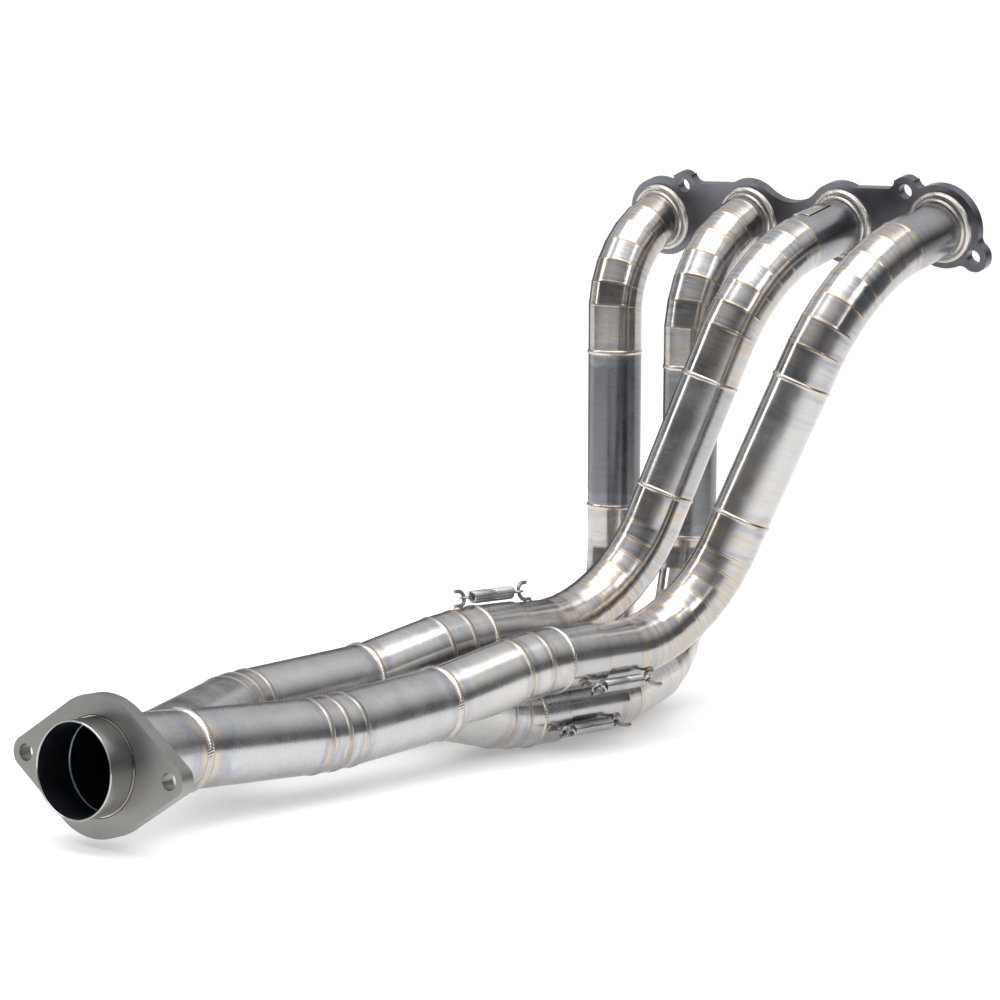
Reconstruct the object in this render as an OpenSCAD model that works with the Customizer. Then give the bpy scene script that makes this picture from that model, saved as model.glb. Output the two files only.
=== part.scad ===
// Racing exhaust header, four into two into one, in pie-cut welded tube.
// Units are millimetres. +Z is up and +X runs along the head flange from port 1 to port 4.
// The outlet points along -Y. The origin is the centre of the head flange's gasket face.

/* [View] */
// Sub-part to draw

/* [Head flange] */
// Distance between neighbouring ports
port_pitch = 94; // [90:0.5:98]
// Thickness of the head flange
head_thickness = 8; // [6:0.5:14]
// Angle by which the ports point below level
port_tilt = 18; // [12:0.5:24]
// Radius of the flange around each port
port_rim_r = 34; // [32:0.5:36]
// Diameter of the ports through the head flange
port_bore = 43.2; // [42:0.1:43.4]
// Diameter of the head bolt holes
head_hole_d = 12; // [9:0.5:13]
// Half the distance between the two upper bolt holes
upper_hole_x = 112; // [108:0.5:116]
// Height of the upper bolt holes above the port centres
upper_hole_y = 28; // [26:0.5:30]
// Half the distance between the two outer lower bolt holes
lower_hole_x = 168; // [165:0.5:170]
// Drop of the outer lower bolt holes below the port centres
lower_hole_y = 24; // [22:0.5:26]
// Drop of the middle lower bolt hole below the port centres
middle_hole_y = 27; // [25:0.5:30]

/* [Tubes] */
// Outside diameter of the primary tubes
primary_od = 45; // [43:0.1:46]
// Outside diameter of the secondary tubes
secondary_od = 50.8; // [49:0.1:52]
// Outside diameter of the outlet spigot
outlet_od = 60.5; // [58:0.1:62]
// Wall thickness of the tubes
wall = 1.2; // [1:0.1:1.6]
// Width of a weld bead
bead_w = 3; // [2:0.1:4]

/* [Slip joints] */
// Radial running clearance in a slip joint
slip_gap = 0.08; // [0.02:0.01:0.1]
// Wall thickness of a slip socket
socket_wall = 1.5; // [1.2:0.1:2]
// Distance from the head flange to the mouths of the upper sockets
upper_mouth = 306; // [302:1:312]
// Distance from the head flange to the mouths of the lower sockets
lower_mouth = 318; // [312:1:322]
// Distance from the head flange to the inner ends of the sockets
socket_end = 347; // [345:1:349]
// Free gap between a tube end and its socket's shoulder
end_gap = 0.5; // [0.3:0.1:1]

/* [Collectors] */
// Distance between the two inlets of a collector
inlet_spacing = 51; // [50.5:0.1:52]
// Lean of a collector's inlets from upright
collector_lean = 30; // [25:1:35]
// Turn at each of a collector's three pie joints
inlet_turn = 5.4; // [5:0.1:5.6]
// Wall thickness of the collector inlets
merge_wall = 2; // [1.9:0.1:2.4]
// Length of a collector from socket to outlet
merge_length = 104; // [102:1:106]

/* [Outlet] */
// Distance between the two outlet bolt holes
outlet_hole_pitch = 115; // [110:0.5:120]
// Diameter of the outlet bolt holes
outlet_hole_d = 11; // [9:0.5:12]
// Thickness of the outlet flange
outlet_thickness = 10; // [8:0.5:12]
// Radius of the round middle of the outlet flange
outlet_rim_r = 44; // [42:0.5:46]
// Length of the spigot in front of the outlet flange
spigot_length = 20; // [15:1:25]

/* [Springs] */
// Outside diameter of a tension spring
spring_od = 10; // [9:0.5:11]
// Wire diameter of a tension spring
spring_wire = 2; // [1.6:0.1:2.2]
// Rod diameter of the spring lugs
lug_rod = 3; // [2.6:0.1:3.2]
// Distance of a spring's axis from its tube's axis
spring_r = 30.5; // [30:0.1:31]

/* [Hidden] */
$fn = 64;

fit_step = 0.05;
port_dir = [0, -cos(port_tilt), -sin(port_tilt)];
port_x = [-1.5 * port_pitch, -0.5 * port_pitch, 0.5 * port_pitch, 1.5 * port_pitch];
tail_r = primary_od / 2;
socket_id = primary_od + 2 * slip_gap;
// Width of the collar by which the spigot sits in the flange
outlet_collar = 1;
socket_od = socket_id + 2 * socket_wall;
merge_y = -(socket_end + merge_length);

// Collector axes in plan and height, front first
collector_xz = [[40, -349], [-37, -344]];
function inlet_xz(c, s) = collector_xz[c]
    + s * inlet_spacing / 2 * [sin(collector_lean), cos(collector_lean)];
// Slip joint axis of each primary, 1 to 4
slip_xz = [inlet_xz(1, -1), inlet_xz(0, -1), inlet_xz(1, 1), inlet_xz(0, 1)];
mouth = [lower_mouth, lower_mouth, upper_mouth, upper_mouth];
// Angle of each joint's spring about its slip joint axis
spring_angle = [200, -18, 105, -38];
// Where the spring's eye lug and hook lug stand along each joint
eye_y = [-272, -268, -285, -258];
hook_y = [-338, -338, -357, -329];
// Radius at which each hook lug stands on its collector
hook_base = [socket_od / 2, socket_od / 2, 23.5, socket_od / 2];

function unit(v) = v / norm(v);
function turn(a, b) = acos(max(-1, min(1, a * b)));
// Mitre points of a pie-cut bend at corner v, from direction a to direction b
function pie_points(v, a, b, r, wedges) =
    let (g = turn(a, b), step = g / (wedges + 1), w = unit(b - a * (a * b)))
    let (c = v - a * r * tan(g / 2) + w * r)
    [for (i = [0:wedges])
        let (f = (i + 0.5) * step)
        c + (a * sin(f) - w * cos(f)) * r / cos(step / 2)];
function seg_dir(p, i) = unit(p[i + 1] - p[i]);
function cut_dir(p, i) =
    i == 0 ? seg_dir(p, 0)
    : i == len(p) - 1 ? seg_dir(p, i - 1)
    : unit(seg_dir(p, i - 1) + seg_dir(p, i));

// Corners, bend radii and wedge counts of each primary
stub_length = [72, 86, 126, 133];
corner_a = [for (k = [0:3]) [port_x[k], 0, 0] + stub_length[k] * port_dir];
corner_b = [
    [port_x[0], -47, slip_xz[0][1]],
    [port_x[1], -62, slip_xz[1][1] + 7],
    [slip_xz[2][0], -186, slip_xz[2][1]],
    [slip_xz[3][0], -190, slip_xz[3][1]]
];
corner_c = [
    [slip_xz[0][0], -204, slip_xz[0][1]],
    [slip_xz[1][0], -245, slip_xz[1][1]]
];
upper_r = [84, 98, 110, 125];
lower_r = [85, 100, 110, 100];
upper_wedges = [6, 6, 6, 6];
lower_wedges = [6, 6, 8, 8];
side_r = [110, 80];
// Ends of the plain straight tube, measured from the upper corner
straight_from = [96, 98, 96, 90];
straight_to = [228, 238, 190, 202];

function tail_end(k) = [slip_xz[k][0], end_gap - socket_end, slip_xz[k][1]];
function run_dir(k) = unit(corner_b[k] - corner_a[k]);
function route(k) =
    k < 2
    ? concat(
        [[port_x[k], 0, 0] + head_thickness * port_dir],
        pie_points(corner_a[k], port_dir, run_dir(k), upper_r[k], upper_wedges[k]),
        [corner_a[k] + run_dir(k) * straight_from[k], corner_a[k] + run_dir(k) * straight_to[k]],
        pie_points(corner_b[k], run_dir(k), unit(corner_c[k] - corner_b[k]),
            lower_r[k], lower_wedges[k]),
        pie_points(corner_c[k], unit(corner_c[k] - corner_b[k]), [0, -1, 0], side_r[k], 1),
        [tail_end(k)])
    : concat(
        [[port_x[k], 0, 0] + head_thickness * port_dir],
        pie_points(corner_a[k], port_dir, run_dir(k), upper_r[k], upper_wedges[k]),
        [corner_a[k] + run_dir(k) * straight_from[k], corner_a[k] + run_dir(k) * straight_to[k]],
        pie_points(corner_b[k], run_dir(k), [0, -1, 0], lower_r[k], lower_wedges[k]),
        [tail_end(k)]);
// First and last piece of each named stretch
function straight_at(k) = upper_wedges[k] + 2;

module aim(d) rotate([0, acos(d[2]), atan2(d[1], d[0])]) children();

// Removes everything on the far side of a plane through p with normal d
module beyond(p, d, s) translate(p) aim(d) translate([-s, -s, 0]) cube([2 * s, 2 * s, 2 * s]);

// One straight piece of tube, mitred at both ends
module piece(p, i, od, w) {
    d = seg_dir(p, i);
    l = norm(p[i + 1] - p[i]);
    e = od * 0.3;
    difference() {
        translate(p[i] - d * e) aim(d) cylinder(h = l + 2 * e, d = od);
        translate(p[i] - d * (e + 1)) aim(d) cylinder(h = l + 2 * e + 2, d = od - 2 * w);
        beyond(p[i], -cut_dir(p, i), od);
        beyond(p[i + 1], cut_dir(p, i + 1), od);
    }
}

// Run of pieces; every second one is a shade smaller, as fitted before welding
module pieces(p, from, to, od, w)
    for (i = [from:to]) piece(p, i, od - (i - from) % 2 * 2 * fit_step, w);

// Half-round weld bead around a tube
module bead(p, d, od, w)
    translate(p) aim(d) rotate_extrude()
        intersection() {
            translate([od / 2, 0]) circle(d = w);
            translate([od / 2, -w]) square([w, 2 * w]);
        }

module in_head_flange() rotate([90 + port_tilt, 0, 0]) children();

// Area between two circles, closed by concave arcs of radius f on the chosen sides
module web(c1, rim1, c2, rim2, f, sides) {
    r1 = rim1 - 0.1;
    r2 = rim2 - 0.1;
    d = norm(c2 - c1);
    a = (pow(r1 + f, 2) - pow(r2 + f, 2) + d * d) / (2 * d);
    h = sqrt(pow(r1 + f, 2) - a * a);
    translate(c1) rotate(atan2(c2[1] - c1[1], c2[0] - c1[0]))
        for (s = sides)
            difference() {
                polygon([[0, -2 * s], [0, 0], [a, s * h], [d, 0], [d, -2 * s]]);
                translate([a, s * h]) circle(r = f);
            }
}

// Rounded ear on a straight edge that lies at height e
module ear(c, r, f, e) {
    h = e - 0.1 - c[1] + f;
    w = sqrt(pow(r - 0.1 + f, 2) - h * h);
    translate(c) circle(r = r);
    difference() {
        translate([c[0] - w, e - 3]) square([2 * w, f + 2]);
        for (m = [-1, 1]) translate([c[0] + m * w, e - 0.1 + f]) circle(r = f);
    }
}

module head_slab() {
    top = 30;
    t = head_thickness;
    for (x = port_x) translate([x, 0, 0]) cylinder(h = t, r = port_rim_r);
    for (m = [-1, 1]) {
        translate([m * port_pitch - port_pitch / 2, -10, 0]) cube([port_pitch, top + 10, t]);
        linear_extrude(t) ear([m * upper_hole_x, upper_hole_y], 12, 8, top);
        linear_extrude(t)
            web([m * port_x[3], 0], port_rim_r, [m * lower_hole_x, -lower_hole_y], 12, 8, [-1, 1]);
        translate([m * lower_hole_x, -lower_hole_y, 0]) cylinder(h = t, r = 12);
    }
    for (i = [0:2])
        linear_extrude(t) web([port_x[i], 0], port_rim_r, [port_x[i + 1], 0], port_rim_r, 37, [-1]);
    linear_extrude(t) web([port_x[1], 0], port_rim_r, [port_x[2], 0], port_rim_r, 37, [1]);
    translate([0, -middle_hole_y, 0]) cylinder(h = t, r = 12);
    translate([-12, -middle_hole_y, 0]) cube([24, middle_hole_y, t]);
}

module head_flange() color([0.36, 0.36, 0.38])
    in_head_flange() difference() {
        head_slab();
        for (x = port_x)
            translate([x, 0, -1]) cylinder(h = head_thickness + 2, d = port_bore);
        for (m = [-1, 1]) {
            translate([m * upper_hole_x, upper_hole_y, -1])
                cylinder(h = head_thickness + 2, d = head_hole_d);
            translate([m * lower_hole_x, -lower_hole_y, -1])
                cylinder(h = head_thickness + 2, d = head_hole_d);
        }
        translate([0, -middle_hole_y, -1]) cylinder(h = head_thickness + 2, d = head_hole_d);
    }

// Fillet weld where a tube stands on a flange
module fillet_ring(od, s)
    rotate_extrude() intersection() {
        translate([od / 2 + s * 0.35, s * 0.35]) circle(r = s * 0.68);
        translate([od / 2, 0]) square([2 * s, 2 * s]);
    }

module port_weld(k) color([0.72, 0.70, 0.66])
    in_head_flange() translate([port_x[k], 0, head_thickness]) fillet_ring(primary_od, 6);

// Small plain plate curved round the stub of primary 3
module id_plate() color([0.78, 0.77, 0.75])
    translate([port_x[2], 0, 0]) aim(port_dir) rotate(180)
        intersection() {
            difference() {
                translate([0, 0, 30]) cylinder(h = 30, d = primary_od + 1.6);
                translate([0, 0, 29]) cylinder(h = 32, d = primary_od);
            }
            translate([10, -8, 29]) cube([20, 16, 32]);
        }

module primary_stub(k) color([0.62, 0.61, 0.60]) piece(route(k), 0, primary_od, wall);
module primary_upper_bend(k) color([0.70, 0.69, 0.67])
    pieces(route(k), 1, straight_at(k) - 1, primary_od, wall);
module primary_straight(k) color([0.58, 0.58, 0.58])
    piece(route(k), straight_at(k), primary_od, wall);
module primary_lower_bend(k) color([0.70, 0.69, 0.67])
    pieces(route(k), straight_at(k) + 1, len(route(k)) - 3, primary_od, wall);
module primary_tail(k) color([0.62, 0.61, 0.60])
    piece(route(k), len(route(k)) - 2, primary_od, wall);

module primary_beads() color([0.74, 0.72, 0.68])
    for (k = [0:3], i = [0, 1]) {
        p = route(k);
        bead(p[straight_at(k) + i], run_dir(k), primary_od, bead_w);
    }

// Moves to a slip joint's spring line: +X outwards, +Z along the header's +Y
module on_joint(k, y) translate([slip_xz[k][0], y, slip_xz[k][1]])
    rotate([-90, 0, 0]) rotate(-spring_angle[k]) children();

// Bent rod lug on a tube of radius r, with its bend towards +Z when s is 1
module lug(r, s) {
    c = spring_r - r - lug_rod / 2;
    mirror([0, 0, s > 0 ? 0 : 1]) translate([spring_r, 0, 0]) {
        rotate([90, 0, 0]) rotate_extrude(angle = 180) translate([c, 0]) circle(d = lug_rod);
        translate([-c, 0, -5]) cylinder(h = 5, d = lug_rod);
        translate([c, 0, -3]) cylinder(h = 3, d = lug_rod);
    }
}

module primary_lug(k) color([0.55, 0.52, 0.47]) on_joint(k, eye_y[k]) lug(tail_r, -1);
module collector_lug(k) color([0.55, 0.52, 0.47]) on_joint(k, hook_y[k]) lug(hook_base[k], 1);

// Tension spring: a close-wound body with a round loop at each end
module spring(k) color([0.60, 0.60, 0.61]) {
    loop_r = spring_od / 2 - spring_wire / 2;
    inside = lug_rod / 2 + 0.1 + spring_wire / 2 - loop_r;
    low = hook_y[k] + (spring_r - hook_base[k] - lug_rod / 2) - inside;
    high = eye_y[k] - (spring_r - tail_r - lug_rod / 2) + inside;
    on_joint(k, 0) translate([spring_r, 0, 0]) {
        for (y = [low, high])
            translate([0, 0, y]) rotate([0, 90, 0])
                rotate_extrude() translate([loop_r, 0]) circle(d = spring_wire);
        translate([0, 0, low + loop_r]) cylinder(h = 6, d = spring_wire);
        translate([0, 0, high - loop_r - 6]) cylinder(h = 6, d = spring_wire);
        translate([0, 0, low + loop_r + 5]) difference() {
            cylinder(h = high - low - 2 * loop_r - 10, d = spring_od);
            translate([0, 0, 1.5])
                cylinder(h = high - low - 2 * loop_r - 13, d = spring_od - 2 * spring_wire);
        }
    }
}

module socket(k) color([0.66, 0.65, 0.64])
    translate([slip_xz[k][0], -socket_end, slip_xz[k][1]]) rotate([-90, 0, 0]) difference() {
        union() {
            cylinder(h = socket_end - mouth[k], d = socket_od);
            ring([0, 0, bead_w / 2], [0, 0, 1], socket_od, bead_w - 0.15);
        }
        translate([0, 0, -1]) cylinder(h = socket_end - mouth[k] + 2, d = socket_id);
    }

// Collector inlet: two wedges and a scarfed tube that runs down to the collector's outlet
function inlet_path(c, s) =
    let (u = [sin(collector_lean), 0, cos(collector_lean)] * s)
    let (p0 = [inlet_xz(c, s)[0], -socket_end, inlet_xz(c, s)[1]])
    let (p1 = p0 + 19 * ([0, -cos(inlet_turn), 0] - u * sin(inlet_turn)))
    let (p2 = p1 + 20 * ([0, -cos(2 * inlet_turn), 0] - u * sin(2 * inlet_turn)))
    let (l = (merge_y - p2[1]) / -cos(3 * inlet_turn))
    [p0, p1, p2, p2 + l * ([0, -cos(3 * inlet_turn), 0] - u * sin(3 * inlet_turn))];

module inlet_solid(c, s, od) {
    p = inlet_path(c, s);
    for (i = [0:2]) {
        d = seg_dir(p, i);
        l = norm(p[i + 1] - p[i]);
        difference() {
            translate(p[i] - d * 15) aim(d) cylinder(h = l + 30, d = od - i % 2 * 2 * fit_step);
            if (i > 0) beyond(p[i], -cut_dir(p, i), 60);
            if (i < 2) beyond(p[i + 1], cut_dir(p, i + 1), 60);
        }
    }
}

// Cuts away the other inlet's side of a collector and all beyond its two ends
module collector_cut(c, s) {
    x = collector_xz[c][0];
    z = collector_xz[c][1];
    translate([x, -400, z]) rotate([0, collector_lean, 0])
        translate([-60, -90, s > 0 ? -120 : 0]) cube([120, 180, 120]);
    translate([x - 90, merge_y - 60, z - 90]) cube([180, 60, 180]);
    translate([x - 90, -socket_end, z - 90]) cube([180, 60, 180]);
}

module merge_half(c, s) color([0.66, 0.65, 0.64])
    difference() {
        inlet_solid(c, s, socket_od);
        inlet_solid(c, s, socket_od - 2 * merge_wall);
        collector_cut(c, s);
    }

// Secondary tubes, front first; the rear one runs into the side of the outlet cone
outlet_back = [60, -755.5, -348];
cone_start = [48.5, -688, -350];
outlet_dir = unit(outlet_back - cone_start);
front_corner = [46, -563, -356];
rear_corner = [-30, -578, -350];
rear_target = cone_start + 34 * outlet_dir;
function merge_exit(c) = [collector_xz[c][0], merge_y, collector_xz[c][1]];
function secondary_path(c) =
    let (a = merge_exit(c), v = c == 0 ? front_corner : rear_corner)
    let (start = a - 6 * unit(v - a))
    c == 0
    ? concat([start],
        pie_points(front_corner, unit(front_corner - a), unit(cone_start - front_corner), 430, 2),
        [cone_start, outlet_back])
    : concat([start],
        pie_points(rear_corner, unit(rear_corner - a), unit(rear_target - rear_corner), 95, 2),
        [rear_target]);

module secondary(c, from, to) color([0.64, 0.63, 0.62])
    pieces(secondary_path(c), from, to, secondary_od, wall);

// First length of a secondary, cut square where it meets its collector
module secondary_inlet(c) color([0.64, 0.63, 0.62])
    difference() {
        piece(secondary_path(c), 0, secondary_od, wall);
        translate(merge_exit(c) - [60, 0, 60]) cube([120, 40, 120]);
    }

module cone_solid(inset) {
    l = norm(outlet_back - cone_start);
    p = secondary_path(0);
    difference() {
        translate(cone_start - outlet_dir * 12) aim(outlet_dir)
            cylinder(h = l + 12, r1 = secondary_od / 2 - inset, r2 = outlet_od / 2 - inset);
        beyond(cone_start, -cut_dir(p, len(p) - 2), 80);
    }
}

module front_bore(od) {
    d = seg_dir(secondary_path(0), 3);
    translate(cone_start - 140 * d) aim(d) cylinder(h = 141, d = od);
}

module rear_bore(od) {
    d = seg_dir(secondary_path(1), 3);
    translate(rear_target - 150 * d) aim(d) cylinder(h = 150, d = od);
}

// The rear secondary is scarfed onto the front one, which is open where it enters
module rear_secondary_outlet() color([0.64, 0.63, 0.62])
    difference() {
        piece(secondary_path(1), 3, secondary_od, wall);
        cone_solid(0);
        front_bore(secondary_od);
    }

module front_secondary_outlet() color([0.64, 0.63, 0.62])
    difference() {
        piece(secondary_path(0), 3, secondary_od, wall);
        rear_bore(secondary_od - 2 * wall);
    }

module outlet_cone() color([0.60, 0.59, 0.58])
    difference() {
        cone_solid(0);
        cone_solid(wall);
        rear_bore(secondary_od - 2 * wall);
    }

module in_outlet() translate(outlet_back) aim(outlet_dir) children();

module outlet_slab(t) {
    ear_r = 10.5;
    b = acos((outlet_rim_r - ear_r) / (outlet_hole_pitch / 2));
    r1 = outlet_rim_r - 0.1;
    r2 = ear_r - 0.1;
    cylinder(h = t, r = outlet_rim_r);
    for (m = [-1, 1]) {
        translate([0, m * outlet_hole_pitch / 2, 0]) cylinder(h = t, r = ear_r);
        linear_extrude(t)
            polygon([[r1 * sin(b), m * r1 * cos(b)],
                [r2 * sin(b), m * (outlet_hole_pitch / 2 + r2 * cos(b))],
                [-r2 * sin(b), m * (outlet_hole_pitch / 2 + r2 * cos(b))],
                [-r1 * sin(b), m * r1 * cos(b)]]);
    }
}

module outlet_flange() color([0.52, 0.51, 0.50])
    in_outlet() difference() {
        outlet_slab(outlet_thickness);
        translate([0, 0, -1]) cylinder(h = outlet_thickness + 2, d = outlet_od + 2 * outlet_collar);
        for (m = [-1, 1])
            translate([0, m * outlet_hole_pitch / 2, -1])
                cylinder(h = outlet_thickness + 2, d = outlet_hole_d);
    }

module outlet_spigot() color([0.74, 0.73, 0.71])
    in_outlet() difference() {
        union() {
            cylinder(h = outlet_thickness, d = outlet_od + 2 * outlet_collar);
            translate([0, 0, 1]) cylinder(h = outlet_thickness + spigot_length - 1, d = outlet_od);
        }
        translate([0, 0, -1]) cylinder(h = outlet_thickness + spigot_length + 2, d = outlet_od - 2 * wall);
    }

// Round weld ring about a tube
module ring(p, d, od, w)
    translate(p) aim(d) rotate_extrude($fn = 48) translate([od / 2, 0]) circle(d = w, $fn = 24);

module collector_beads() color([0.74, 0.72, 0.68]) {
    for (c = [0, 1]) {
        d = seg_dir(secondary_path(c), 0);
        difference() {
            bead(merge_exit(c) + 2 * d, d, secondary_od, bead_w + 1);
            translate(merge_exit(c) - [60, 0, 60]) cube([120, 40, 120]);
        }
    }
    // The cone's weld stops at the side of the rear secondary
    difference() {
        bead(cone_start - 4.3 * seg_dir(secondary_path(0), 3), seg_dir(secondary_path(0), 3),
            secondary_od, bead_w + 1);
        translate(cone_start - [103.5, 60, 60]) cube([100, 120, 120]);
    }
    difference() {
        in_outlet() mirror([0, 0, 1]) fillet_ring(outlet_od - 0.6, 5);
        cone_solid(0);
    }
}

head_flange();
port_weld(0);  // port_weld_1
port_weld(1);  // port_weld_2
port_weld(2);  // port_weld_3
port_weld(3);  // port_weld_4
id_plate();
primary_stub(0);  // primary_1_stub
primary_upper_bend(0);  // primary_1_upper_bend
primary_straight(0);  // primary_1_straight
primary_lower_bend(0);  // primary_1_lower_bend
primary_tail(0);  // primary_1_tail
primary_stub(1);  // primary_2_stub
primary_upper_bend(1);  // primary_2_upper_bend
primary_straight(1);  // primary_2_straight
primary_lower_bend(1);  // primary_2_lower_bend
primary_tail(1);  // primary_2_tail
primary_stub(2);  // primary_3_stub
primary_upper_bend(2);  // primary_3_upper_bend
primary_straight(2);  // primary_3_straight
primary_lower_bend(2);  // primary_3_lower_bend
primary_tail(2);  // primary_3_tail
primary_stub(3);  // primary_4_stub
primary_upper_bend(3);  // primary_4_upper_bend
primary_straight(3);  // primary_4_straight
primary_lower_bend(3);  // primary_4_lower_bend
primary_tail(3);  // primary_4_tail
primary_beads();
primary_lug(0);  // primary_lug_1
primary_lug(1);  // primary_lug_2
primary_lug(2);  // primary_lug_3
primary_lug(3);  // primary_lug_4
spring(0);  // spring_1
spring(1);  // spring_2
spring(2);  // spring_3
spring(3);  // spring_4
socket(3);  // front_upper_socket
socket(1);  // front_lower_socket
socket(2);  // rear_upper_socket
socket(0);  // rear_lower_socket
merge_half(0, 1);  // front_upper_merge
merge_half(0, -1);  // front_lower_merge
merge_half(1, 1);  // rear_upper_merge
merge_half(1, -1);  // rear_lower_merge
collector_lug(0);  // collector_lug_1
collector_lug(1);  // collector_lug_2
collector_lug(2);  // collector_lug_3
collector_lug(3);  // collector_lug_4
secondary_inlet(0);  // front_secondary_inlet
secondary(0, 1, 2);  // front_secondary_bend
front_secondary_outlet();
secondary_inlet(1);  // rear_secondary_inlet
secondary(1, 1, 2);  // rear_secondary_bend
rear_secondary_outlet();
collector_beads();
outlet_cone();
outlet_flange();
outlet_spigot();
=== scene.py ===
"""Looks of the pie-cut racing header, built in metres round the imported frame."""

import math
import random

import bpy
import numpy as np
from mathutils import Matrix, Vector


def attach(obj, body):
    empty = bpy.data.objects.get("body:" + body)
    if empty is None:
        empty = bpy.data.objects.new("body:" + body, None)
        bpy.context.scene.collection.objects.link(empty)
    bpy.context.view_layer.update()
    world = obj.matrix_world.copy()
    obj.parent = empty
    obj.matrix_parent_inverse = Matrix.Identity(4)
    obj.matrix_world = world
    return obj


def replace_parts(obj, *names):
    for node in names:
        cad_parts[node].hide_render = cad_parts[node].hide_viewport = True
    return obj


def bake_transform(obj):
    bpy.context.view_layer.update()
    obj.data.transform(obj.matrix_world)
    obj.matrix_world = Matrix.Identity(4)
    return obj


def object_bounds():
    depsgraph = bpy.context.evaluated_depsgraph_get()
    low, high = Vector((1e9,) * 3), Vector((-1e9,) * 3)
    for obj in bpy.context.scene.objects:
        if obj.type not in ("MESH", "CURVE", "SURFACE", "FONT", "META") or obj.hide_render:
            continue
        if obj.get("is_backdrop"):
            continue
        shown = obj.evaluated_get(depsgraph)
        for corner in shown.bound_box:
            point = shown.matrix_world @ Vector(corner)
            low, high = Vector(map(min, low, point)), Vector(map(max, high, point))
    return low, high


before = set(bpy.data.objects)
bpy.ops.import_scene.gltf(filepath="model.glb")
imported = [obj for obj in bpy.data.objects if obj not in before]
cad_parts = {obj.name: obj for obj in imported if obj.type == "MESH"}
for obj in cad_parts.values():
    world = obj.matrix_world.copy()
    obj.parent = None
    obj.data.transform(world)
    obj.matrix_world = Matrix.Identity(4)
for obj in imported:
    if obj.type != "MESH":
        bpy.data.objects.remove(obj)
cad_low, cad_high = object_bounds()
MM = 0.001
random.seed(7)
FRONT, REAR = 0, 1


# ---------------------------------------------------------------- design sizes, millimetres
def vec(*xyz):
    return np.array(xyz, float)


def unit(v):
    return v / np.linalg.norm(v)


TILT = math.radians(18)
OUT = vec(0, -math.cos(TILT), -math.sin(TILT))
UP = vec(0, -math.sin(TILT), math.cos(TILT))
DOWNSTREAM = vec(0, -1, 0)
PORT_X = [-141, -47, 47, 141]
PRIMARY, SECONDARY, OUTLET, WALL = 45.0, 50.8, 60.5, 1.2
SOCKET_OD, SOCKET_ID, SOCKET_END = 48.16, 45.16, 347.0
MOUTH = [318, 318, 306, 306]
LEAN, TURN, MERGE_Y = math.radians(30), math.radians(5.4), -451.0
COLLECTOR = [vec(40, 0, -349), vec(-37, 0, -344)]
INLET_U = vec(math.sin(LEAN), 0, math.cos(LEAN))
SLIP = [
    COLLECTOR[REAR] - INLET_U * 25.5,
    COLLECTOR[FRONT] - INLET_U * 25.5,
    COLLECTOR[REAR] + INLET_U * 25.5,
    COLLECTOR[FRONT] + INLET_U * 25.5,
]
SPRING_ANGLE = [200, -18, 105, -38]
EYE_Y = [-272, -268, -285, -258]
HOOK_Y = [-338, -338, -357, -329]
SPRING_R, SPRING_OD, WIRE, ROD = 30.5, 10.0, 2.0, 3.0
HOOK_BASE = [24.08, 24.08, 23.5, 24.08]


# ---------------------------------------------------------------- tube routes
def pie_points(v, a, b, r, wedges):
    g = math.acos(float(np.clip(a @ b, -1, 1)))
    step = g / (wedges + 1)
    w = unit(b - a * (a @ b))
    c = v - a * r * math.tan(g / 2) + w * r
    out = []
    for i in range(wedges + 1):
        f = (i + 0.5) * step
        out.append(c + (a * math.sin(f) - w * math.cos(f)) * r / math.cos(step / 2))
    return out


def seg(p, i):
    return unit(p[i + 1] - p[i])


def cut(p, i):
    if i == 0:
        return seg(p, 0)
    if i == len(p) - 1:
        return seg(p, i - 1)
    return unit(seg(p, i - 1) + seg(p, i))


STUB = [72, 86, 126, 133]
CORNER_A = [vec(PORT_X[k], 0, 0) + STUB[k] * OUT for k in range(4)]
CORNER_B = [
    vec(PORT_X[0], -47, SLIP[0][2]),
    vec(PORT_X[1], -62, SLIP[1][2] + 7),
    vec(SLIP[2][0], -186, SLIP[2][2]),
    vec(SLIP[3][0], -190, SLIP[3][2]),
]
CORNER_C = [vec(SLIP[0][0], -204, SLIP[0][2]), vec(SLIP[1][0], -245, SLIP[1][2])]
UPPER_R, LOWER_R, SIDE_R = [84, 98, 110, 125], [85, 100, 110, 100], [110, 80]
LOWER_WEDGES = [6, 6, 8, 8]
STRAIGHT = [(96, 228), (98, 238), (96, 190), (90, 202)]


def route(k):
    a, b = CORNER_A[k], CORNER_B[k]
    run = unit(b - a)
    p = [vec(PORT_X[k], 0, 0) + 8 * OUT]
    p += pie_points(a, OUT, run, UPPER_R[k], 6)
    p += [a + run * STRAIGHT[k][0], a + run * STRAIGHT[k][1]]
    if k < 2:
        c = CORNER_C[k]
        p += pie_points(b, run, unit(c - b), LOWER_R[k], LOWER_WEDGES[k])
        p += pie_points(c, unit(c - b), DOWNSTREAM, SIDE_R[k], 1)
    else:
        p += pie_points(b, run, DOWNSTREAM, LOWER_R[k], LOWER_WEDGES[k])
    return p + [SLIP[k] + vec(0, 0.5 - SOCKET_END, 0)]


def inlet_path(c, s):
    u = INLET_U * s
    p = [COLLECTOR[c] + u * 25.5 + vec(0, -SOCKET_END, 0)]
    for n, length in ((1, 19), (2, 20)):
        p.append(p[-1] + length * (DOWNSTREAM * math.cos(n * TURN) - u * math.sin(n * TURN)))
    d = DOWNSTREAM * math.cos(3 * TURN) - u * math.sin(3 * TURN)
    return p + [p[-1] + d * (MERGE_Y - p[-1][1]) / d[1]]


OUTLET_BACK, CONE_START = vec(60, -755.5, -348), vec(48.5, -688, -350)
OUTLET_DIR = unit(OUTLET_BACK - CONE_START)
REAR_TARGET = CONE_START + 34 * OUTLET_DIR


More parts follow.
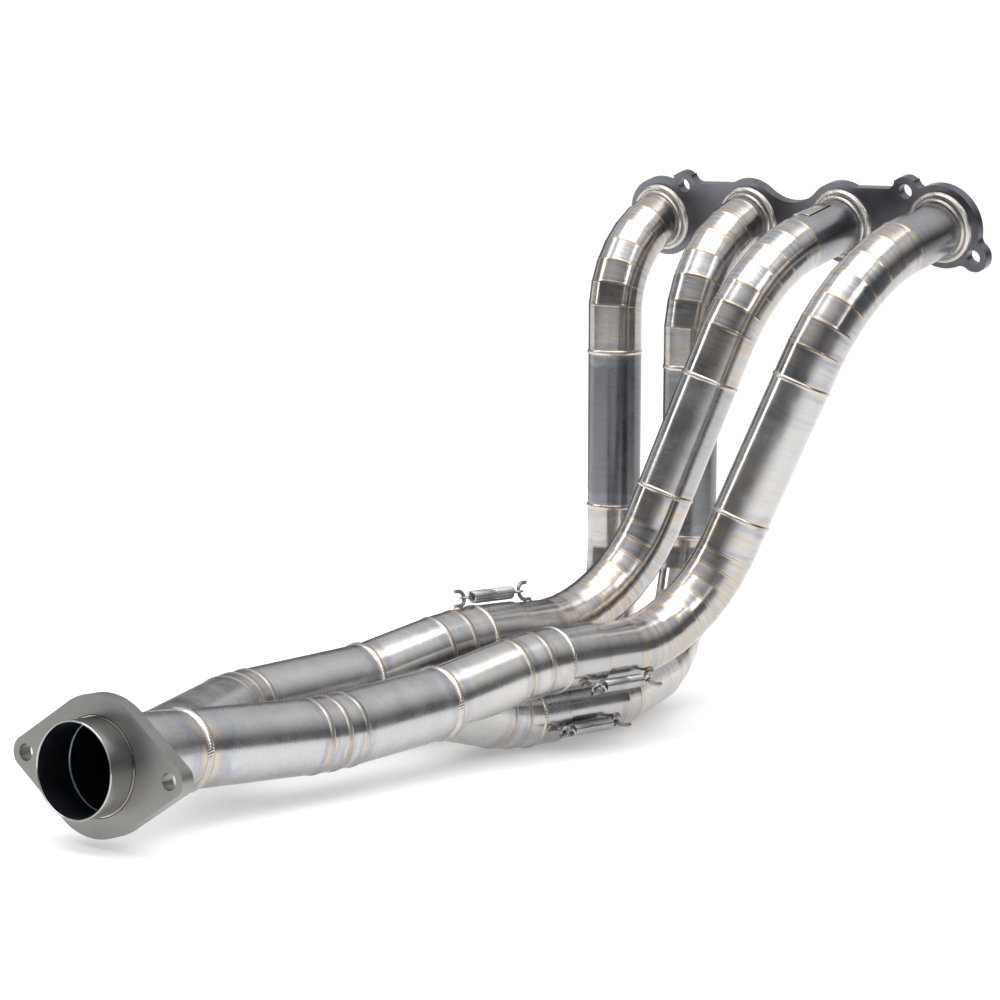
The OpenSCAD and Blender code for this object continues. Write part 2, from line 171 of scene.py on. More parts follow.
def secondary_path(c):
    a = COLLECTOR[c] + vec(0, MERGE_Y, 0)
    v = (vec(46, -563, -356), vec(-30, -578, -350))[c]
    end = (CONE_START, REAR_TARGET)[c]
    p = [a - 6 * unit(v - a)] + pie_points(v, unit(v - a), unit(end - v), (430, 95)[c], 2)
    return p + ([CONE_START, OUTLET_BACK] if c == FRONT else [REAR_TARGET])


# ---------------------------------------------------------------- materials
def material(name, base, rough, grain=0.0, cross=0.0, tint=0.0, ripple=0.0, blast=0.0, dirt=0.25,
             brushed=0.0, warm=0.0):
    """Titanium finish.

    grain: fine lines round the tube; cross: lines along it; tint: heat colours at the welds;
    ripple: weld scales; blast: blasted grain; dirt: depth of cloudy patches;
    brushed: anisotropy round the tube; warm: steel and brown streaks.
    """
    m = bpy.data.materials.new(name)
    m.use_nodes = True
    t = m.node_tree
    t.nodes.clear()

    def n(kind, **kw):
        node = t.nodes.new(kind)
        for key, value in kw.items():
            if key in node.inputs.keys():
                node.inputs[key].default_value = value
            else:
                setattr(node, key, value)
        return node

    def link(a, b):
        t.links.new(a, b)

    def math_node(op, a, b=None, clamp=False):
        node = n("ShaderNodeMath", operation=op, use_clamp=clamp)
        for i, x in enumerate((a, b)):
            if x is None:
                continue
            if isinstance(x, (int, float)):
                node.inputs[i].default_value = x
            else:
                link(x, node.inputs[i])
        return node.outputs[0]

    out = n("ShaderNodeOutputMaterial")
    shader = n("ShaderNodeBsdfPrincipled")
    link(shader.outputs[0], out.inputs[0])
    shader.inputs["Metallic"].default_value = 1.0
    if brushed:
        tangent = n("ShaderNodeTangent", direction_type="UV_MAP", uv_map="around")
        link(tangent.outputs[0], shader.inputs["Tangent"])
        shader.inputs["Anisotropic"].default_value = brushed
        shader.inputs["Anisotropic Rotation"].default_value = 0.25
    place = n("ShaderNodeTexCoord")
    uv = n("ShaderNodeUVMap", uv_map="around")
    body = place.outputs["Object"]

    def noise(source, scale, detail=3.0, stretch=None, rough_=0.55):
        if stretch:
            mp = n("ShaderNodeMapping")
            mp.inputs["Scale"].default_value = stretch
            link(source, mp.inputs["Vector"])
            source = mp.outputs[0]
        x = n("ShaderNodeTexNoise", Scale=scale, Detail=detail, Roughness=rough_)
        link(source, x.inputs["Vector"])
        return x.outputs["Fac"]

    def ramp(fac, stops):
        r = n("ShaderNodeValToRGB")
        e = r.color_ramp.elements
        while len(e) < len(stops):
            e.new(0.5)
        for i, (pos, col) in enumerate(stops):
            e[i].position = pos
            e[i].color = (*col, 1)
        link(fac, r.inputs[0])
        return r.outputs[0]

    def mix(fac, a, b, blend="MIX"):
        x = n("ShaderNodeMix", data_type="RGBA", blend_type=blend)
        if isinstance(fac, float):
            x.inputs[0].default_value = fac
        else:
            link(fac, x.inputs[0])
        for i, c in ((6, a), (7, b)):
            if isinstance(c, tuple):
                x.inputs[i].default_value = (*c, 1)
            else:
                link(c, x.inputs[i])
        return x.outputs[2]

    cloud = noise(body, 38.0, 4.0)
    fine = noise(body, 420.0, 3.0)
    lines = noise(uv.outputs[0], 1.0, 2.0, stretch=(90.0, 4200.0, 1.0))
    lengthwise = noise(uv.outputs[0], 1.0, 2.0, stretch=(3600.0, 60.0, 1.0))
    dark = tuple(c * (1 - dirt) for c in base)
    light = tuple(min(1.0, c * (1 + dirt * 0.45)) for c in base)
    colour = ramp(cloud, [(0.32, dark), (0.5, base), (0.68, light)])
    if warm > 0:
        streak = noise(uv.outputs[0], 1.0, 3.0, stretch=(14.0, 260.0, 1.0))
        patches = math_node("MULTIPLY", noise(body, 17.0, 2.0), 0.4)
        tone = math_node("ADD", math_node("MULTIPLY", streak, 0.6), patches)
        brown = (base[0] * 0.96, base[1] * 0.84, base[2] * 0.70)
        steel = (base[0] * 0.70, base[1] * 0.75, base[2] * 0.83)
        colour = mix(warm, colour, ramp(tone, [(0.36, steel), (0.48, base), (0.62, brown)]))
    if tint > 0:
        ends = n("ShaderNodeUVMap", uv_map="ends")
        heat = n("ShaderNodeUVMap", uv_map="heat")
        e = n("ShaderNodeSeparateXYZ")
        h = n("ShaderNodeSeparateXYZ")
        link(ends.outputs[0], e.inputs[0])
        link(heat.outputs[0], h.inputs[0])
        wobble = math_node("MULTIPLY", math_node("SUBTRACT", noise(body, 90.0, 3.0), 0.5), 0.9)
        bands = []
        for side in (0, 1):
            reach = math_node("MULTIPLY", h.outputs[side], 0.016)
            d = math_node("DIVIDE", e.outputs[side], reach)
            bands.append(math_node("ADD", d, wobble))
        near = math_node("MINIMUM", bands[0], bands[1], clamp=True)
        hot = ramp(near, [
            (0.0, (0.40, 0.36, 0.31)), (0.14, (0.55, 0.46, 0.33)), (0.28, (0.42, 0.31, 0.26)),
            (0.42, (0.26, 0.25, 0.33)), (0.58, (0.27, 0.32, 0.42)), (0.8, (0.46, 0.48, 0.51)), (1.0, base),
        ])
        strength = ramp(near, [(0.0, (1, 1, 1)), (0.6, (0.8, 0.8, 0.8)), (1.0, (0, 0, 0))])
        amount = math_node("MULTIPLY", strength, tint)
        patch = ramp(noise(body, 24.0, 2.0), [(0.38, (0.25, 0.25, 0.25)), (0.62, (1, 1, 1))])
        colour = mix(math_node("MULTIPLY", amount, patch), colour, hot)
    link(colour, shader.inputs["Base Color"])
    r = math_node("MULTIPLY", math_node("SUBTRACT", cloud, 0.5), 0.28)
    r = math_node("ADD", r, math_node("MULTIPLY", math_node("SUBTRACT", lines, 0.5), 0.25 * grain))
    link(math_node("ADD", r, rough, clamp=True), shader.inputs["Roughness"])
    height = math_node("MULTIPLY", fine, 0.10 + blast)
    if grain:
        height = math_node("ADD", height, math_node("MULTIPLY", lines, grain))
    if cross:
        height = math_node("ADD", height, math_node("MULTIPLY", lengthwise, cross))
    if ripple:
        s = n("ShaderNodeSeparateXYZ")
        link(uv.outputs[0], s.inputs[0])
        bow = math_node("MULTIPLY", math_node("POWER", math_node("MULTIPLY", s.outputs[1], 600.0), 2.0), 1.2)
        wave = math_node("ADD", math_node("MULTIPLY", s.outputs[0], 2 * math.pi / 0.0019), bow)
        height = math_node("ADD", height, math_node("MULTIPLY", math_node("SINE", wave), ripple))
    b = n("ShaderNodeBump")
    b.inputs["Strength"].default_value = 0.35
    b.inputs["Distance"].default_value = 0.00012
    link(height, b.inputs["Height"])
    link(b.outputs[0], shader.inputs["Normal"])
    return m


TUBE = material("tube", (0.44, 0.435, 0.43), 0.24, grain=0.3, tint=0.5, dirt=0.12, brushed=0.5, warm=0.5)
# Straights of the four primaries are one titanium. Their base colours stand in for light: painted shade and
# reflection on tubes 1 and 2, slight painted shade on tube 3, painted light on tube 4.
LIT_AND_SHADED_STRAIGHTS = [
    material("painted_shade_straight_1", (0.19, 0.193, 0.205), 0.3,
             grain=0.2, cross=0.12, tint=0.8, dirt=0.2, brushed=0.4, warm=0.3),
    material("painted_shade_straight_2", (0.21, 0.212, 0.22), 0.29,
             grain=0.2, cross=0.12, tint=0.8, dirt=0.2, brushed=0.4, warm=0.3),
    material("straight_3", (0.40, 0.398, 0.395), 0.25, grain=0.3, tint=0.5, dirt=0.12, brushed=0.5, warm=0.5),
    material("straight_4", (0.51, 0.503, 0.497), 0.24, grain=0.3, tint=0.5, dirt=0.12, brushed=0.5, warm=0.5),
]
BEND = material("bend", (0.485, 0.466, 0.448), 0.2, grain=0.45, tint=0.6, dirt=0.2, brushed=0.6, warm=1.0)
# Stubs of tubes 3 and 4: the tube's titanium painted darker as painted shade.
PAINTED_SHADE_STUB = material("painted_shade_stub", (0.31, 0.312, 0.325), 0.24,
                     grain=0.3, tint=0.6, dirt=0.16, brushed=0.5, warm=0.5)
SECOND = material("secondary", (0.47, 0.468, 0.465), 0.27,
                  grain=0.25, cross=0.05, tint=0.7, dirt=0.12, brushed=0.45, warm=0.15)
MERGE = material("merge", (0.50, 0.49, 0.475), 0.25, grain=0.25, tint=0.7, dirt=0.14, brushed=0.45, warm=0.25)
SOFT_BEAD = material("soft_bead", (0.40, 0.38, 0.35), 0.32, ripple=0.4, dirt=0.3)
FLUSH = material("flush_bead", (0.46, 0.43, 0.39), 0.24, grain=0.3, dirt=0.3, brushed=0.5, warm=0.9)
SOCKET = material("socket", (0.43, 0.428, 0.425), 0.25,
                  grain=0.3, tint=0.6, dirt=0.12, brushed=0.45, warm=0.2)
BEAD = material("bead", (0.50, 0.475, 0.445), 0.24, ripple=0.7, dirt=0.3)
# Bores of the tubes, cone and spigot: the same titanium painted dark grey as painted shade inside the tube.
SHADED_BORE = material("inside", (0.12, 0.13, 0.16), 0.36, grain=0.4, dirt=0.3)
ROOT = material("root_bead", (0.30, 0.36, 0.46), 0.22, ripple=0.6, dirt=0.3)
# Near-black colour for the seam where the spigot seats in the outlet flange: painted shadow.
SEAM_SHADOW = material("gap", (0.06, 0.045, 0.03), 0.6, dirt=0.3)
# Head flange: its face, turned forward and down, painted dark grey as painted shade.
SHADED_PLATE = material("plate", (0.155, 0.157, 0.175), 0.33, cross=0.3, dirt=0.25)
BLASTED = material("blasted", (0.27, 0.262, 0.25), 0.42, blast=1.2, dirt=0.1)
POLISHED = material("polished", (0.44, 0.43, 0.42), 0.2, grain=0.4, dirt=0.12, brushed=0.5)
SPRING = material("spring", (0.44, 0.44, 0.44), 0.24, dirt=0.2)
PUDDLE = material("puddle", (0.33, 0.27, 0.19), 0.3, dirt=0.4)
LUG = material("lug", (0.28, 0.265, 0.25), 0.28, dirt=0.3)


# ---------------------------------------------------------------- meshes
def mesh_object(name, verts, faces, mats, body, slot, uvs=None, face_mats=None, smooth=True):
    me = bpy.data.meshes.new(name)
    me.from_pydata([tuple(v * MM) for v in verts], [], faces)
    for m in mats:
        me.materials.append(m)
    if face_mats is not None:
        me.polygons.foreach_set("material_index", face_mats)
    me.polygons.foreach_set("use_smooth", [smooth] * len(me.polygons))
    loops = np.empty(len(me.loops), np.int32)
    me.loops.foreach_get("vertex_index", loops)
    for layer, data in (uvs or {}).items():
        data = np.asarray(data, float)
        me.uv_layers.new(name=layer).data.foreach_set("uv", data[loops].ravel())
    me.update()
    ob = bpy.data.objects.new(name, me)
    bpy.context.scene.collection.objects.link(ob)
    if body:
        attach(ob, body)
    return ob


class Build:
    """Collects the vertices, faces and surface coordinates of one piece."""

    def __init__(self):
        self.v, self.f, self.fm = [], [], []
        self.uv = {"around": [], "ends": [], "heat": []}

    def grid(self, rows, around, ends, heat, mat=0, flip=False, closed=False):
        """rows: list of equally long point lists; quads join each row to the next."""
        base, n = len(self.v), len(rows[0])
        for r, row in enumerate(rows):
            self.v += list(row)
            self.uv["around"] += [tuple(x) for x in around[r]]
            self.uv["ends"] += [tuple(x) for x in ends[r]]
            self.uv["heat"] += [heat] * n
        for r in range(len(rows) - 1):
            for i in range(n if closed else n - 1):
                j = (i + 1) % n
                q = [base + r * n + i, base + r * n + j, base + (r + 1) * n + j, base + (r + 1) * n + i]
                left, right = (np.linalg.norm(self.v[q[a]] - self.v[q[b]]) for a, b in ((0, 3), (1, 2)))
                if max(left, right) < 1e-6:
                    continue
                self.f.append(q[::-1] if flip else q)
                self.fm.append(mat)

    def make(self, name, mats, body, slot, smooth=True):
        return mesh_object(name, self.v, self.f, mats, body, slot, self.uv, self.fm, smooth)


def side_frame(d):
    e1 = unit(np.cross(d, vec(0.31, 0.17, 0.93)))
    return e1, np.cross(d, e1)


def tube_lines(p, i, r, n, keep=None, start=None, stop=None):
    """Start and end points of n + 1 lines along one mitred piece, cut short where keep turns false."""
    d = seg(p, i)
    e1, e2 = side_frame(d)
    a = np.linspace(0, 2 * math.pi, n + 1)[:, None]
    rim = np.cos(a) * e1 + np.sin(a) * e2
    ca, cb = (cut(p, i) if start is None else start), (cut(p, i + 1) if stop is None else stop)
    low = p[i] + r * rim
    low = low - d * (((low - p[i]) @ ca) / (d @ ca))[:, None]
    high = p[i + 1] + r * rim
    high = high - d * (((high - p[i + 1]) @ cb) / (d @ cb))[:, None]
    if keep is not None:
        lo, hi = np.zeros(n + 1), np.ones(n + 1)
        grid = np.linspace(0, 1, 121)
        inside = np.array([keep(low + (high - low) * g) for g in grid])
        for j in range(n + 1):
            if not inside[0, j]:
                hi[j] = 0
                continue
            bad = np.where(~inside[:, j])[0]
            if len(bad):
                lo[j], hi[j] = grid[bad[0] - 1], grid[bad[0]]
        cutting = (lo > 0) | (hi < 1)
        for _ in range(14):
            mid = (lo + hi) / 2
            ok = keep(low + (high - low) * mid[:, None])
            lo = np.where(cutting & ok, mid, lo)
            hi = np.where(cutting & ~ok, mid, hi)
        high = low + (high - low) * hi[:, None]
    return low, high, rim


def tube(name, node, p, first, last, od, wall, body, slot, mat, heat=(0.5, 0.5), inner_heat=0.5,
         keep=None, start=None, stop=None, n=96, inside=SHADED_BORE):
    """Mitred tube made of pieces first to last of a route, with its bore and end rings."""
    b = Build()
    travelled = 0.0
    ends = []
    for i in range(first, last + 1):
        s0 = start if i == first else None
        s1 = stop if i == last else None
        h0 = heat[0] if i == first else inner_heat * random.uniform(0.6, 1.4)
        h1 = heat[1] if i == last else inner_heat * random.uniform(0.6, 1.4)
        lines = {}
        for r, which in ((od / 2, 0), (od / 2 - wall, 1)):
            low, high, rim = tube_lines(p, i, r, n, keep, s0, s1)
            length = np.linalg.norm(high - low, axis=1)
            arc = np.linspace(0, 2 * math.pi * r, n + 1)
            full = np.linalg.norm(p[i + 1] - p[i])
            zero = 0 * arc
            around = [np.stack([arc, travelled + along], 1) * MM for along in (zero, length)]
            e = [np.stack([zero, np.maximum(length, full * 0.5)], 1) * MM, np.stack([length, zero], 1) * MM]
            b.grid([low, high], around, e, (h0, h1), mat=which, flip=bool(which))
            lines[which] = (low, high)
        travelled += np.linalg.norm(p[i + 1] - p[i])
        if i == first:
            ends.append((lines[0][0], lines[1][0], True))
        if i == last:
            ends.append((lines[0][1], lines[1][1], False))
        last_lines = lines
    for outer, inner, flip in ends:
        zero = np.zeros((len(outer), 2))
        b.grid([outer, inner], [zero, zero + 0.001], [zero, zero], (0.5, 0.5), flip=flip)
    ob = b.make(name, [mat, inside], body, slot)
    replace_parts(ob, node)
    return last_lines[0]


def dome(b, base, out, along, w, h, closed=True):
    """Weld bead of width w and height h swept along the points of base."""
    rows, around, ends = [], [], []
    step = np.linalg.norm(np.diff(base, axis=0), axis=1)
    arc = np.concatenate([[0], np.cumsum(step)])
    for j in range(7):
        a = -w / 2 + w * j / 6
        lift = h * math.cos(math.pi * a / w) - 0.1
        rows.append(base + along * a + out * lift)
        around.append(np.stack([arc, 0 * arc + a], 1) * MM)
        ends.append(np.zeros((len(base), 2)))
    b.grid(rows, around, ends, (0.5, 0.5), flip=True)


def ring_bead(b, p, i, od, w=2.6, h=0.45, n=72):
    """Bead round the mitre at point i of a route."""
    c = cut(p, i)
    e1, e2 = side_frame(c)
    a = np.linspace(0, 2 * math.pi, n + 1)[:, None]
    rim = np.cos(a) * e1 + np.sin(a) * e2
    d = seg(p, min(i, len(p) - 2))
    side = rim - d * (rim @ d)[:, None]
    base = p[i] + rim * (od / 2 / np.linalg.norm(side, axis=1))[:, None]
    dome(b, base, rim, c[None, :], w, h)


def sweep(name, points, r, sides, body, slot, mat, node=None):
    """Round rod along a smooth line of points."""
    pts = np.array(points)
    t = np.gradient(pts, axis=0)
    t /= np.linalg.norm(t, axis=1)[:, None]
    ref = unit(np.cross(t[0], vec(0.3, 0.5, 0.8)))
    rows, around, ends = [], [], []
    arc = 0.0
    for j, c in enumerate(pts):
        ref = unit(ref - t[j] * (ref @ t[j]))
        other = np.cross(t[j], ref)
        a = np.linspace(0, 2 * math.pi, sides + 1)[:, None]
        rows.append(c + r * (np.cos(a) * ref + np.sin(a) * other))
        if j:
            arc += np.linalg.norm(pts[j] - pts[j - 1])
        around.append(np.stack([a[:, 0] * r, 0 * a[:, 0] + arc], 1) * MM)
        ends.append(np.zeros((sides + 1, 2)))
    b = Build()
    b.grid(rows, around, ends, (0.5, 0.5))
    for row, flip in ((rows[0], True), (rows[-1], False)):
        mid = row[:-1].mean(axis=0)
        zero = np.zeros((sides + 1, 2))
        hub = np.repeat(mid[None, :], sides + 1, 0)
        b.grid([row, hub], [zero, zero], [zero, zero], (0.5, 0.5), flip=flip)
    return b.make(name, [mat], body, slot)


# ---------------------------------------------------------------- primaries
P, C = "primaries", "collector"
for k in range(4):
    p = route(k)
    s = 8
    no = k + 1
    last = len(p) - 2
    for label, i, j, slot, mat, heat in (
        ("stub", 0, 0, "titanium_tube", PAINTED_SHADE_STUB if k > 1 else TUBE, (1.0, 0.6)),
        ("upper_bend", 1, s - 1, "titanium_bend", BEND, (0.6, 0.7)),
        ("straight", s, s, "titanium_tube", LIT_AND_SHADED_STRAIGHTS[k], (0.8, 0.8)),
        ("lower_bend", s + 1, last - 1, "titanium_bend", BEND, (0.7, 0.7)),
        ("tail", last, last, "titanium_tube", TUBE, (0.8, 0.2)),
    ):
        tube(f"{label}_{no}", f"primary_{no}_{label}", p, i, j, PRIMARY, WALL, P, slot, mat, heat, 0.55)
    pies = Build()
    for i in range(1, len(p) - 1):
        if i not in (s, s + 1):
            ring_bead(pies, p, i, PRIMARY, w=random.uniform(2.4, 3.4), h=random.uniform(0.15, 0.24))
    pies.make(f"pie_beads_{no}", [FLUSH], P, "weld_bead")
butt = Build()
for k in range(4):
    p = route(k)
    for i in (8, 9):
        ring_bead(butt, p, i, PRIMARY, w=4.2, h=0.95)
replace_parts(butt.make("butt_beads", [BEAD], P, "weld_bead"), "primary_beads")

# ---------------------------------------------------------------- collectors
NAMES = {
    (REAR, -1): ("rear_lower", 0),
    (FRONT, -1): ("front_lower", 1),
    (REAR, 1): ("rear_upper", 2),
    (FRONT, 1): ("front_upper", 3),
}
joints = Build()
for (c, s), (label, k) in NAMES.items():
    line = [SLIP[k] + vec(0, -MOUTH[k], 0), SLIP[k] + vec(0, -SOCKET_END, 0)]
    tube(f"socket_{label}", f"{label}_socket", line, 0, 0, SOCKET_OD, 1.5, C, "titanium_tube", SOCKET,
         (0.3, 0.9))
    ring_bead(joints, line, 1, SOCKET_OD, w=4.0, h=0.95)
    path = inlet_path(c, s)
    middle, side = COLLECTOR[c], INLET_U * s

    def keep(x, middle=middle, side=side):
        return (x - middle) @ side >= -1e-6

    tube(f"merge_{label}", f"{label}_merge", path, 0, 2, SOCKET_OD, 2.0, C, "titanium_bend", MERGE,
         (0.9, 0.8), 0.7, keep=keep, start=DOWNSTREAM, stop=DOWNSTREAM, n=144)
    pies = Build()
    for i in (1, 2):
        ring_bead(pies, path, i, SOCKET_OD, w=4.4, h=0.5)
    pies.v = [x if (x - middle) @ side > 0 else x - side * ((x - middle) @ side) for x in pies.v]
    pies.make(f"merge_beads_{label}", [SOFT_BEAD], C, "weld_bead")

for c, label in ((FRONT, "front"), (REAR, "rear")):
    p = secondary_path(c)
    exit_plane = COLLECTOR[c] + vec(0, MERGE_Y, 0)
    q = [exit_plane] + p[1:]
    tube(f"{label}_inlet", f"{label}_secondary_inlet", q, 0, 0, SECONDARY, WALL, C, "titanium_tube", SECOND,
         (1.0, 0.7), start=DOWNSTREAM)
    tube(f"{label}_bend", f"{label}_secondary_bend", q, 1, 2, SECONDARY, WALL, C, "titanium_bend", MERGE,
         (0.7, 0.7), 0.7)
    weld = [exit_plane + vec(0, y, 0) for y in (1, -0.8, -2)]
    ring_bead(joints, weld, 1, SECONDARY, w=6.4, h=1.6)
    pies = Build()
    for i in (1, 2, 3):
        ring_bead(pies, q, i, SECONDARY, w=5.0, h=0.7)
    pies.make(f"{label}_pie_beads", [SOFT_BEAD], C, "weld_bead")


def cone_radius(x):
    along = (x - CONE_START) @ OUTLET_DIR
    total = np.linalg.norm(OUTLET_BACK - CONE_START)
    return SECONDARY / 2 + (OUTLET - SECONDARY) / 2 * np.clip(along / total, -0.2, 1)


front = secondary_path(FRONT)
rear = secondary_path(REAR)
front_dir, rear_dir = seg(front, 3), seg(rear, 3)


def off_axis(x, p, d):
    v = x - p
    return np.linalg.norm(v - np.outer(v @ d, d), axis=1)


def outside_front(x):
    in_front = (off_axis(x, CONE_START, front_dir) < SECONDARY / 2) & ((x - CONE_START) @ front_dir < 0)
    in_cone = (off_axis(x, CONE_START, OUTLET_DIR) < cone_radius(x)) & ((x - CONE_START) @ OUTLET_DIR >= 0)
    return ~(in_front | in_cone)


tube("front_outlet", "front_secondary_outlet", front, 3, 3, SECONDARY, WALL, C, "titanium_tube", SECOND,
     (0.7, 2.0))
edge = tube("rear_outlet", "rear_secondary_outlet", rear, 3, 3, SECONDARY, WALL, C, "titanium_tube", SECOND,
            (0.7, 1.1), keep=outside_front, n=144)
seam = Build()
normal = edge[1] - REAR_TARGET
normal = normal - np.outer(normal @ rear_dir, rear_dir)
normal /= np.linalg.norm(normal, axis=1)[:, None]
tangent = np.gradient(edge[1], axis=0)
tangent /= np.linalg.norm(tangent, axis=1)[:, None]
dome(seam, edge[1], normal, np.cross(tangent, normal), 4.0, 1.0)
seam.make("scarf_bead", [BEAD], C, "weld_bead")


def lathe(name, node, origin, d, profile, body, slot, mats, face_mats, heat=(0.5, 0.5), n=96):
    """Turned piece: profile is a list of (radius, distance along d) with one material index per span."""
    e1, e2 = side_frame(d)
    a = np.linspace(0, 2 * math.pi, n + 1)[:, None]
    rim = np.cos(a) * e1 + np.sin(a) * e2
    b = Build()
    run = 0.0
    for j in range(len(profile) - 1):
        (r0, z0), (r1, z1) = profile[j], profile[j + 1]
        rows = [origin + rim * r0 + d * z0, origin + rim * r1 + d * z1]
        step = math.hypot(r1 - r0, z1 - z0)
        arc = a[:, 0] * max(r0, r1)
        around = [np.stack([arc, 0 * arc + run], 1) * MM, np.stack([arc, 0 * arc + run + step], 1) * MM]
        e = [np.stack([0 * arc, 0 * arc + step], 1) * MM, np.stack([0 * arc + step, 0 * arc], 1) * MM]
        b.grid(rows, around, e, heat, mat=face_mats[j], flip=False)
        run += step
    ob = b.make(name, mats, body, slot)
    if node:
        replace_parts(ob, node)
    return ob


cone_length = float(np.linalg.norm(OUTLET_BACK - CONE_START))
lathe("cone", "outlet_cone", CONE_START, OUTLET_DIR,
      [(SECONDARY / 2, 0), (OUTLET / 2, cone_length), (OUTLET / 2 - WALL, cone_length),
       (SECONDARY / 2 - WALL, 0), (SECONDARY / 2, 0)],
      C, "titanium_tube", [SECOND, SHADED_BORE], [0, 0, 1, 0], heat=(2.2, 1.0))
rim_r = OUTLET / 2
lathe("spigot", "outlet_spigot", OUTLET_BACK, OUTLET_DIR,
      [(rim_r + 1, 0), (rim_r + 1, 9.7), (rim_r + 0.7, 10), (rim_r, 10), (rim_r, 29.4), (rim_r - 0.3, 29.85),
       (rim_r - 0.6, 30), (rim_r - 0.9, 29.85), (rim_r - WALL, 29.4), (rim_r - WALL, 0), (rim_r + 1, 0)],
      C, "polished_tube", [POLISHED, SHADED_BORE], [0, 0, 0, 0, 0, 0, 0, 0, 1, 1])
ring_bead(joints, [CONE_START - front_dir, CONE_START, CONE_START + OUTLET_DIR], 1, SECONDARY, w=8.0, h=2.2)
lathe("outlet_fillet", None, OUTLET_BACK, OUTLET_DIR,
      [(rim_r + 5.2 * math.sin(q), -5.6 * math.cos(q)) for q in np.linspace(0, math.pi / 2, 8)],
      C, "weld_bead", [BEAD], [0] * 7)
root_r = rim_r - WALL
lathe("root_bead", None, OUTLET_BACK, OUTLET_DIR,
      [(root_r + 0.1 - 1.1 * math.sin(q), -2.4 * math.cos(q)) for q in np.linspace(0, math.pi, 9)][::-1],
      C, "weld_bead", [ROOT], [0] * 8)
# Thin ring at the spigot's seat in the flange, painted near-black as the seam's shadow.
lathe("painted_seat_shadow", None, OUTLET_BACK, OUTLET_DIR, [(rim_r + 1.25, 10.03), (rim_r + 0.75, 10.1)],
      C, "blasted_flange", [SEAM_SHADOW], [0])
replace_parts(joints.make("collector_welds", [BEAD], C, "weld_bead"), "collector_beads")

# ---------------------------------------------------------------- port welds
for k in range(4):
    r0 = PRIMARY / 2
    prof = [(r0 + 6.6, 0.0), (r0 + 6.5, 1.6), (r0 + 5.9, 3.2), (r0 + 5.0, 4.3), (r0 + 3.9, 4.8), (r0 + 2.8, 4.6),
            (r0 + 1.9, 4.1), (r0 + 1.1, 4.2), (r0 + 0.4, 5.0), (r0 - 0.1, 6.2)]
    lathe(f"port_ring_{k + 1}", f"port_weld_{k + 1}", vec(PORT_X[k], 0, 0) + 8 * OUT, OUT, prof[::-1],
          P, "weld_bead", [BEAD], [0] * 9)


# ---------------------------------------------------------------- plain plate on the third tube
plate = Build()
upward = vec(0, -math.sin(TILT), math.cos(TILT))
half = math.asin(8 / (PRIMARY / 2 + 0.8))
inset = 0.5 / (PRIMARY / 2)


def plate_row(r, z, h):
    a = np.linspace(-h, h, 25)[:, None]
    return vec(PORT_X[2], 0, 0) + OUT * z + r * (np.cos(a) * upward + np.sin(a) * np.cross(OUT, upward))


under, shoulder, face = PRIMARY / 2 + 0.02, PRIMARY / 2 + 0.6, PRIMARY / 2 + 0.8
steps = [(under, 30.0, half), (shoulder, 30.0, half), (face, 30.4, half - inset),
         (face, 59.6, half - inset), (shoulder, 60.0, half), (under, 60.0, half)]
rows = [plate_row(*row) for row in steps]
arc = np.linspace(-8, 8, 25)
along = [np.stack([arc, 0 * arc + row[1]], 1) * MM for row in steps]
plate.grid(rows, along, [np.zeros((25, 2))] * 6, (0.5, 0.5))
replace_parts(plate.make("plain_plate", [POLISHED], P, "polished_tube"), "id_plate")


# ---------------------------------------------------------------- lugs and springs
def joint_axes(k):
    f = math.radians(SPRING_ANGLE[k])
    er = vec(math.cos(f), 0, math.sin(f))
    return er, np.cross(vec(0, 1, 0), er)


def puddle(b, c, normal, along, size):
    """Small weld mound on a tube at the foot of a lug."""
    across = np.cross(normal, along)
    a = np.linspace(0, 2 * math.pi, 25)[:, None]
    rows = []
    for f, lift in ((1.0, -0.6), (0.9, 0.15), (0.7, 0.75), (0.4, 1.15), (0.02, 1.3)):
        wave = 1 + 0.06 * np.sin(5 * a + size)
        oval = np.cos(a) * along * size + np.sin(a) * across * size * 0.62
        rows.append(c + normal * lift + f * wave * oval)
    arc = a[:, 0] * size
    around = [np.stack([arc, 0 * arc + j * 0.8], 1) * MM for j in range(5)]
    b.grid(rows, around, [np.zeros((25, 2))] * 5, (0.5, 0.5))


def lug_points(k, y, base, s):
    er, _ = joint_axes(k)
    c = SPRING_R - base - ROD / 2
    o = SLIP[k] + vec(0, y, 0) + er * SPRING_R
    yy = vec(0, s, 0)
    pts = [o - er * c - yy * t for t in np.linspace(5, 0.5, 5)]
    pts += [o - er * c * math.cos(q) + yy * c * math.sin(q) for q in np.linspace(0, math.pi, 19)]
    return pts + [o + er * c - yy * t for t in np.linspace(0.6, 3, 3)]


